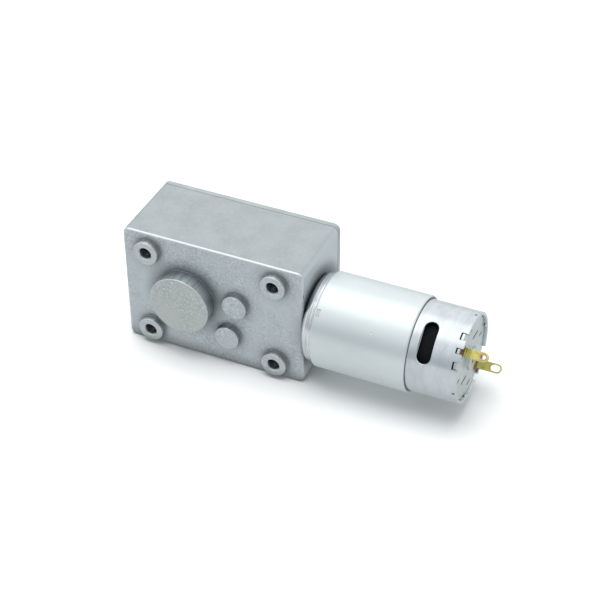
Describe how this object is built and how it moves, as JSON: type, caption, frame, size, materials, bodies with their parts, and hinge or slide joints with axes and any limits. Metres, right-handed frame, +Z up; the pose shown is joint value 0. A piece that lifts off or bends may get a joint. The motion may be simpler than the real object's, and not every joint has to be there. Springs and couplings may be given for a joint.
{
  "type": "geared dc motor",
  "caption": "Right-angle worm-geared DC motor with a D-shaft, tapped mounting bosses and solder terminals.",
  "frame": {"origin": "on the output shaft's axis, in the plane of the cover's outer face", "axes": "+Y along the output shaft towards its free end, +X along the motor away from the gearbox, +Z up"},
  "size_m": [0.113, 0.0463, 0.0401],
  "materials": {
    "zinc_casting": "matte die-cast zinc, lightly mottled",
    "cover_plate": "satin zinc-plated plate",
    "gasket": "matte compressed fibre",
    "screw_steel": "zinc-plated steel",
    "shaft_steel": "ground bright steel",
    "gear_steel": "machined steel with a film of grease",
    "bronze": "sintered bronze, matte",
    "wheel_brass": "machined brass",
    "can_steel": "plated deep-drawn steel, brushed round the can",
    "ring_steel": "bright galvanised steel",
    "ferrite": "matte ferrite",
    "lamination": "stacked electrical steel",
    "winding": "enamelled copper wire",
    "fibre": "pressed insulating fibre",
    "copper": "turned copper",
    "phenolic": "moulded phenolic",
    "ceramic": "matte ceramic",
    "nylon": "natural nylon",
    "holder_plastic": "moulded black plastic",
    "carbon": "sintered carbon",
    "end_steel": "bright plated steel",
    "terminal_brass": "stamped brass, slightly dulled"
  },
  "bodies": {
    "case": {"gearbox_housing": "zinc_casting", "gearbox_cover": "cover_plate", "cover_gasket": "gasket", "cover_screws": "screw_steel", "motor_screws": "screw_steel", "output_bush": "bronze", "inner_bush": "bronze", "first_pin": "shaft_steel", "first_spacers": "shaft_steel", "second_pin": "shaft_steel", "second_clip": "screw_steel", "second_spacer": "shaft_steel", "worm_bush": "bronze", "motor_can": "can_steel", "flux_ring": "ring_steel", "magnets": "ferrite", "magnet_clips": "screw_steel", "front_bush": "bronze", "rear_bush": "bronze", "end_plate": "end_steel", "brush_holder": "holder_plastic", "brushes": "carbon", "brush_arms": "copper", "terminal_front": "terminal_brass", "terminal_back": "terminal_brass", "terminal_insulators": "fibre"},
    "output": {"output_shaft": "shaft_steel", "output_gear": "gear_steel", "output_spacer": "gear_steel", "output_shims": "shaft_steel"},
    "second_idler": {"second_gear": "gear_steel", "second_pinion": "gear_steel"},
    "first_idler": {"worm_wheel": "wheel_brass", "first_pinion": "gear_steel"},
    "rotor": {"worm": "gear_steel", "motor_shaft": "shaft_steel", "armature_core": "lamination", "armature_windings": "winding", "armature_insulators": "fibre", "commutator_hub": "phenolic", "commutator_bars": "copper", "varistor": "ceramic", "thrust_washers": "nylon"}
  },
  "joints": [
    {"name": "output_spin", "type": "hinge", "parent": "case", "child": "output", "pos_m": [0, 0, 0], "axis": [0, 1, 0], "continuous": true},
    {"name": "second_idler_spin", "type": "hinge", "parent": "case", "child": "second_idler", "pos_m": [0.01662, 0, 0.00245], "axis": [0, 1, 0], "continuous": true},
    {"name": "first_idler_spin", "type": "hinge", "parent": "case", "child": "first_idler", "pos_m": [0.0139, 0, -0.00975], "axis": [0, 1, 0], "continuous": true},
    {"name": "rotor_spin", "type": "hinge", "parent": "case", "child": "rotor", "pos_m": [0.0381, -0.01684, -0.00195], "axis": [1, 0, 0], "continuous": true}
  ],
  "couplings": [
    {"joint": "second_idler_spin", "follows": "output_spin", "ratio": -2.8182},
    {"joint": "first_idler_spin", "follows": "output_spin", "ratio": 8.9242},
    {"joint": "rotor_spin", "follows": "output_spin", "ratio": -169.56}
  ]
}
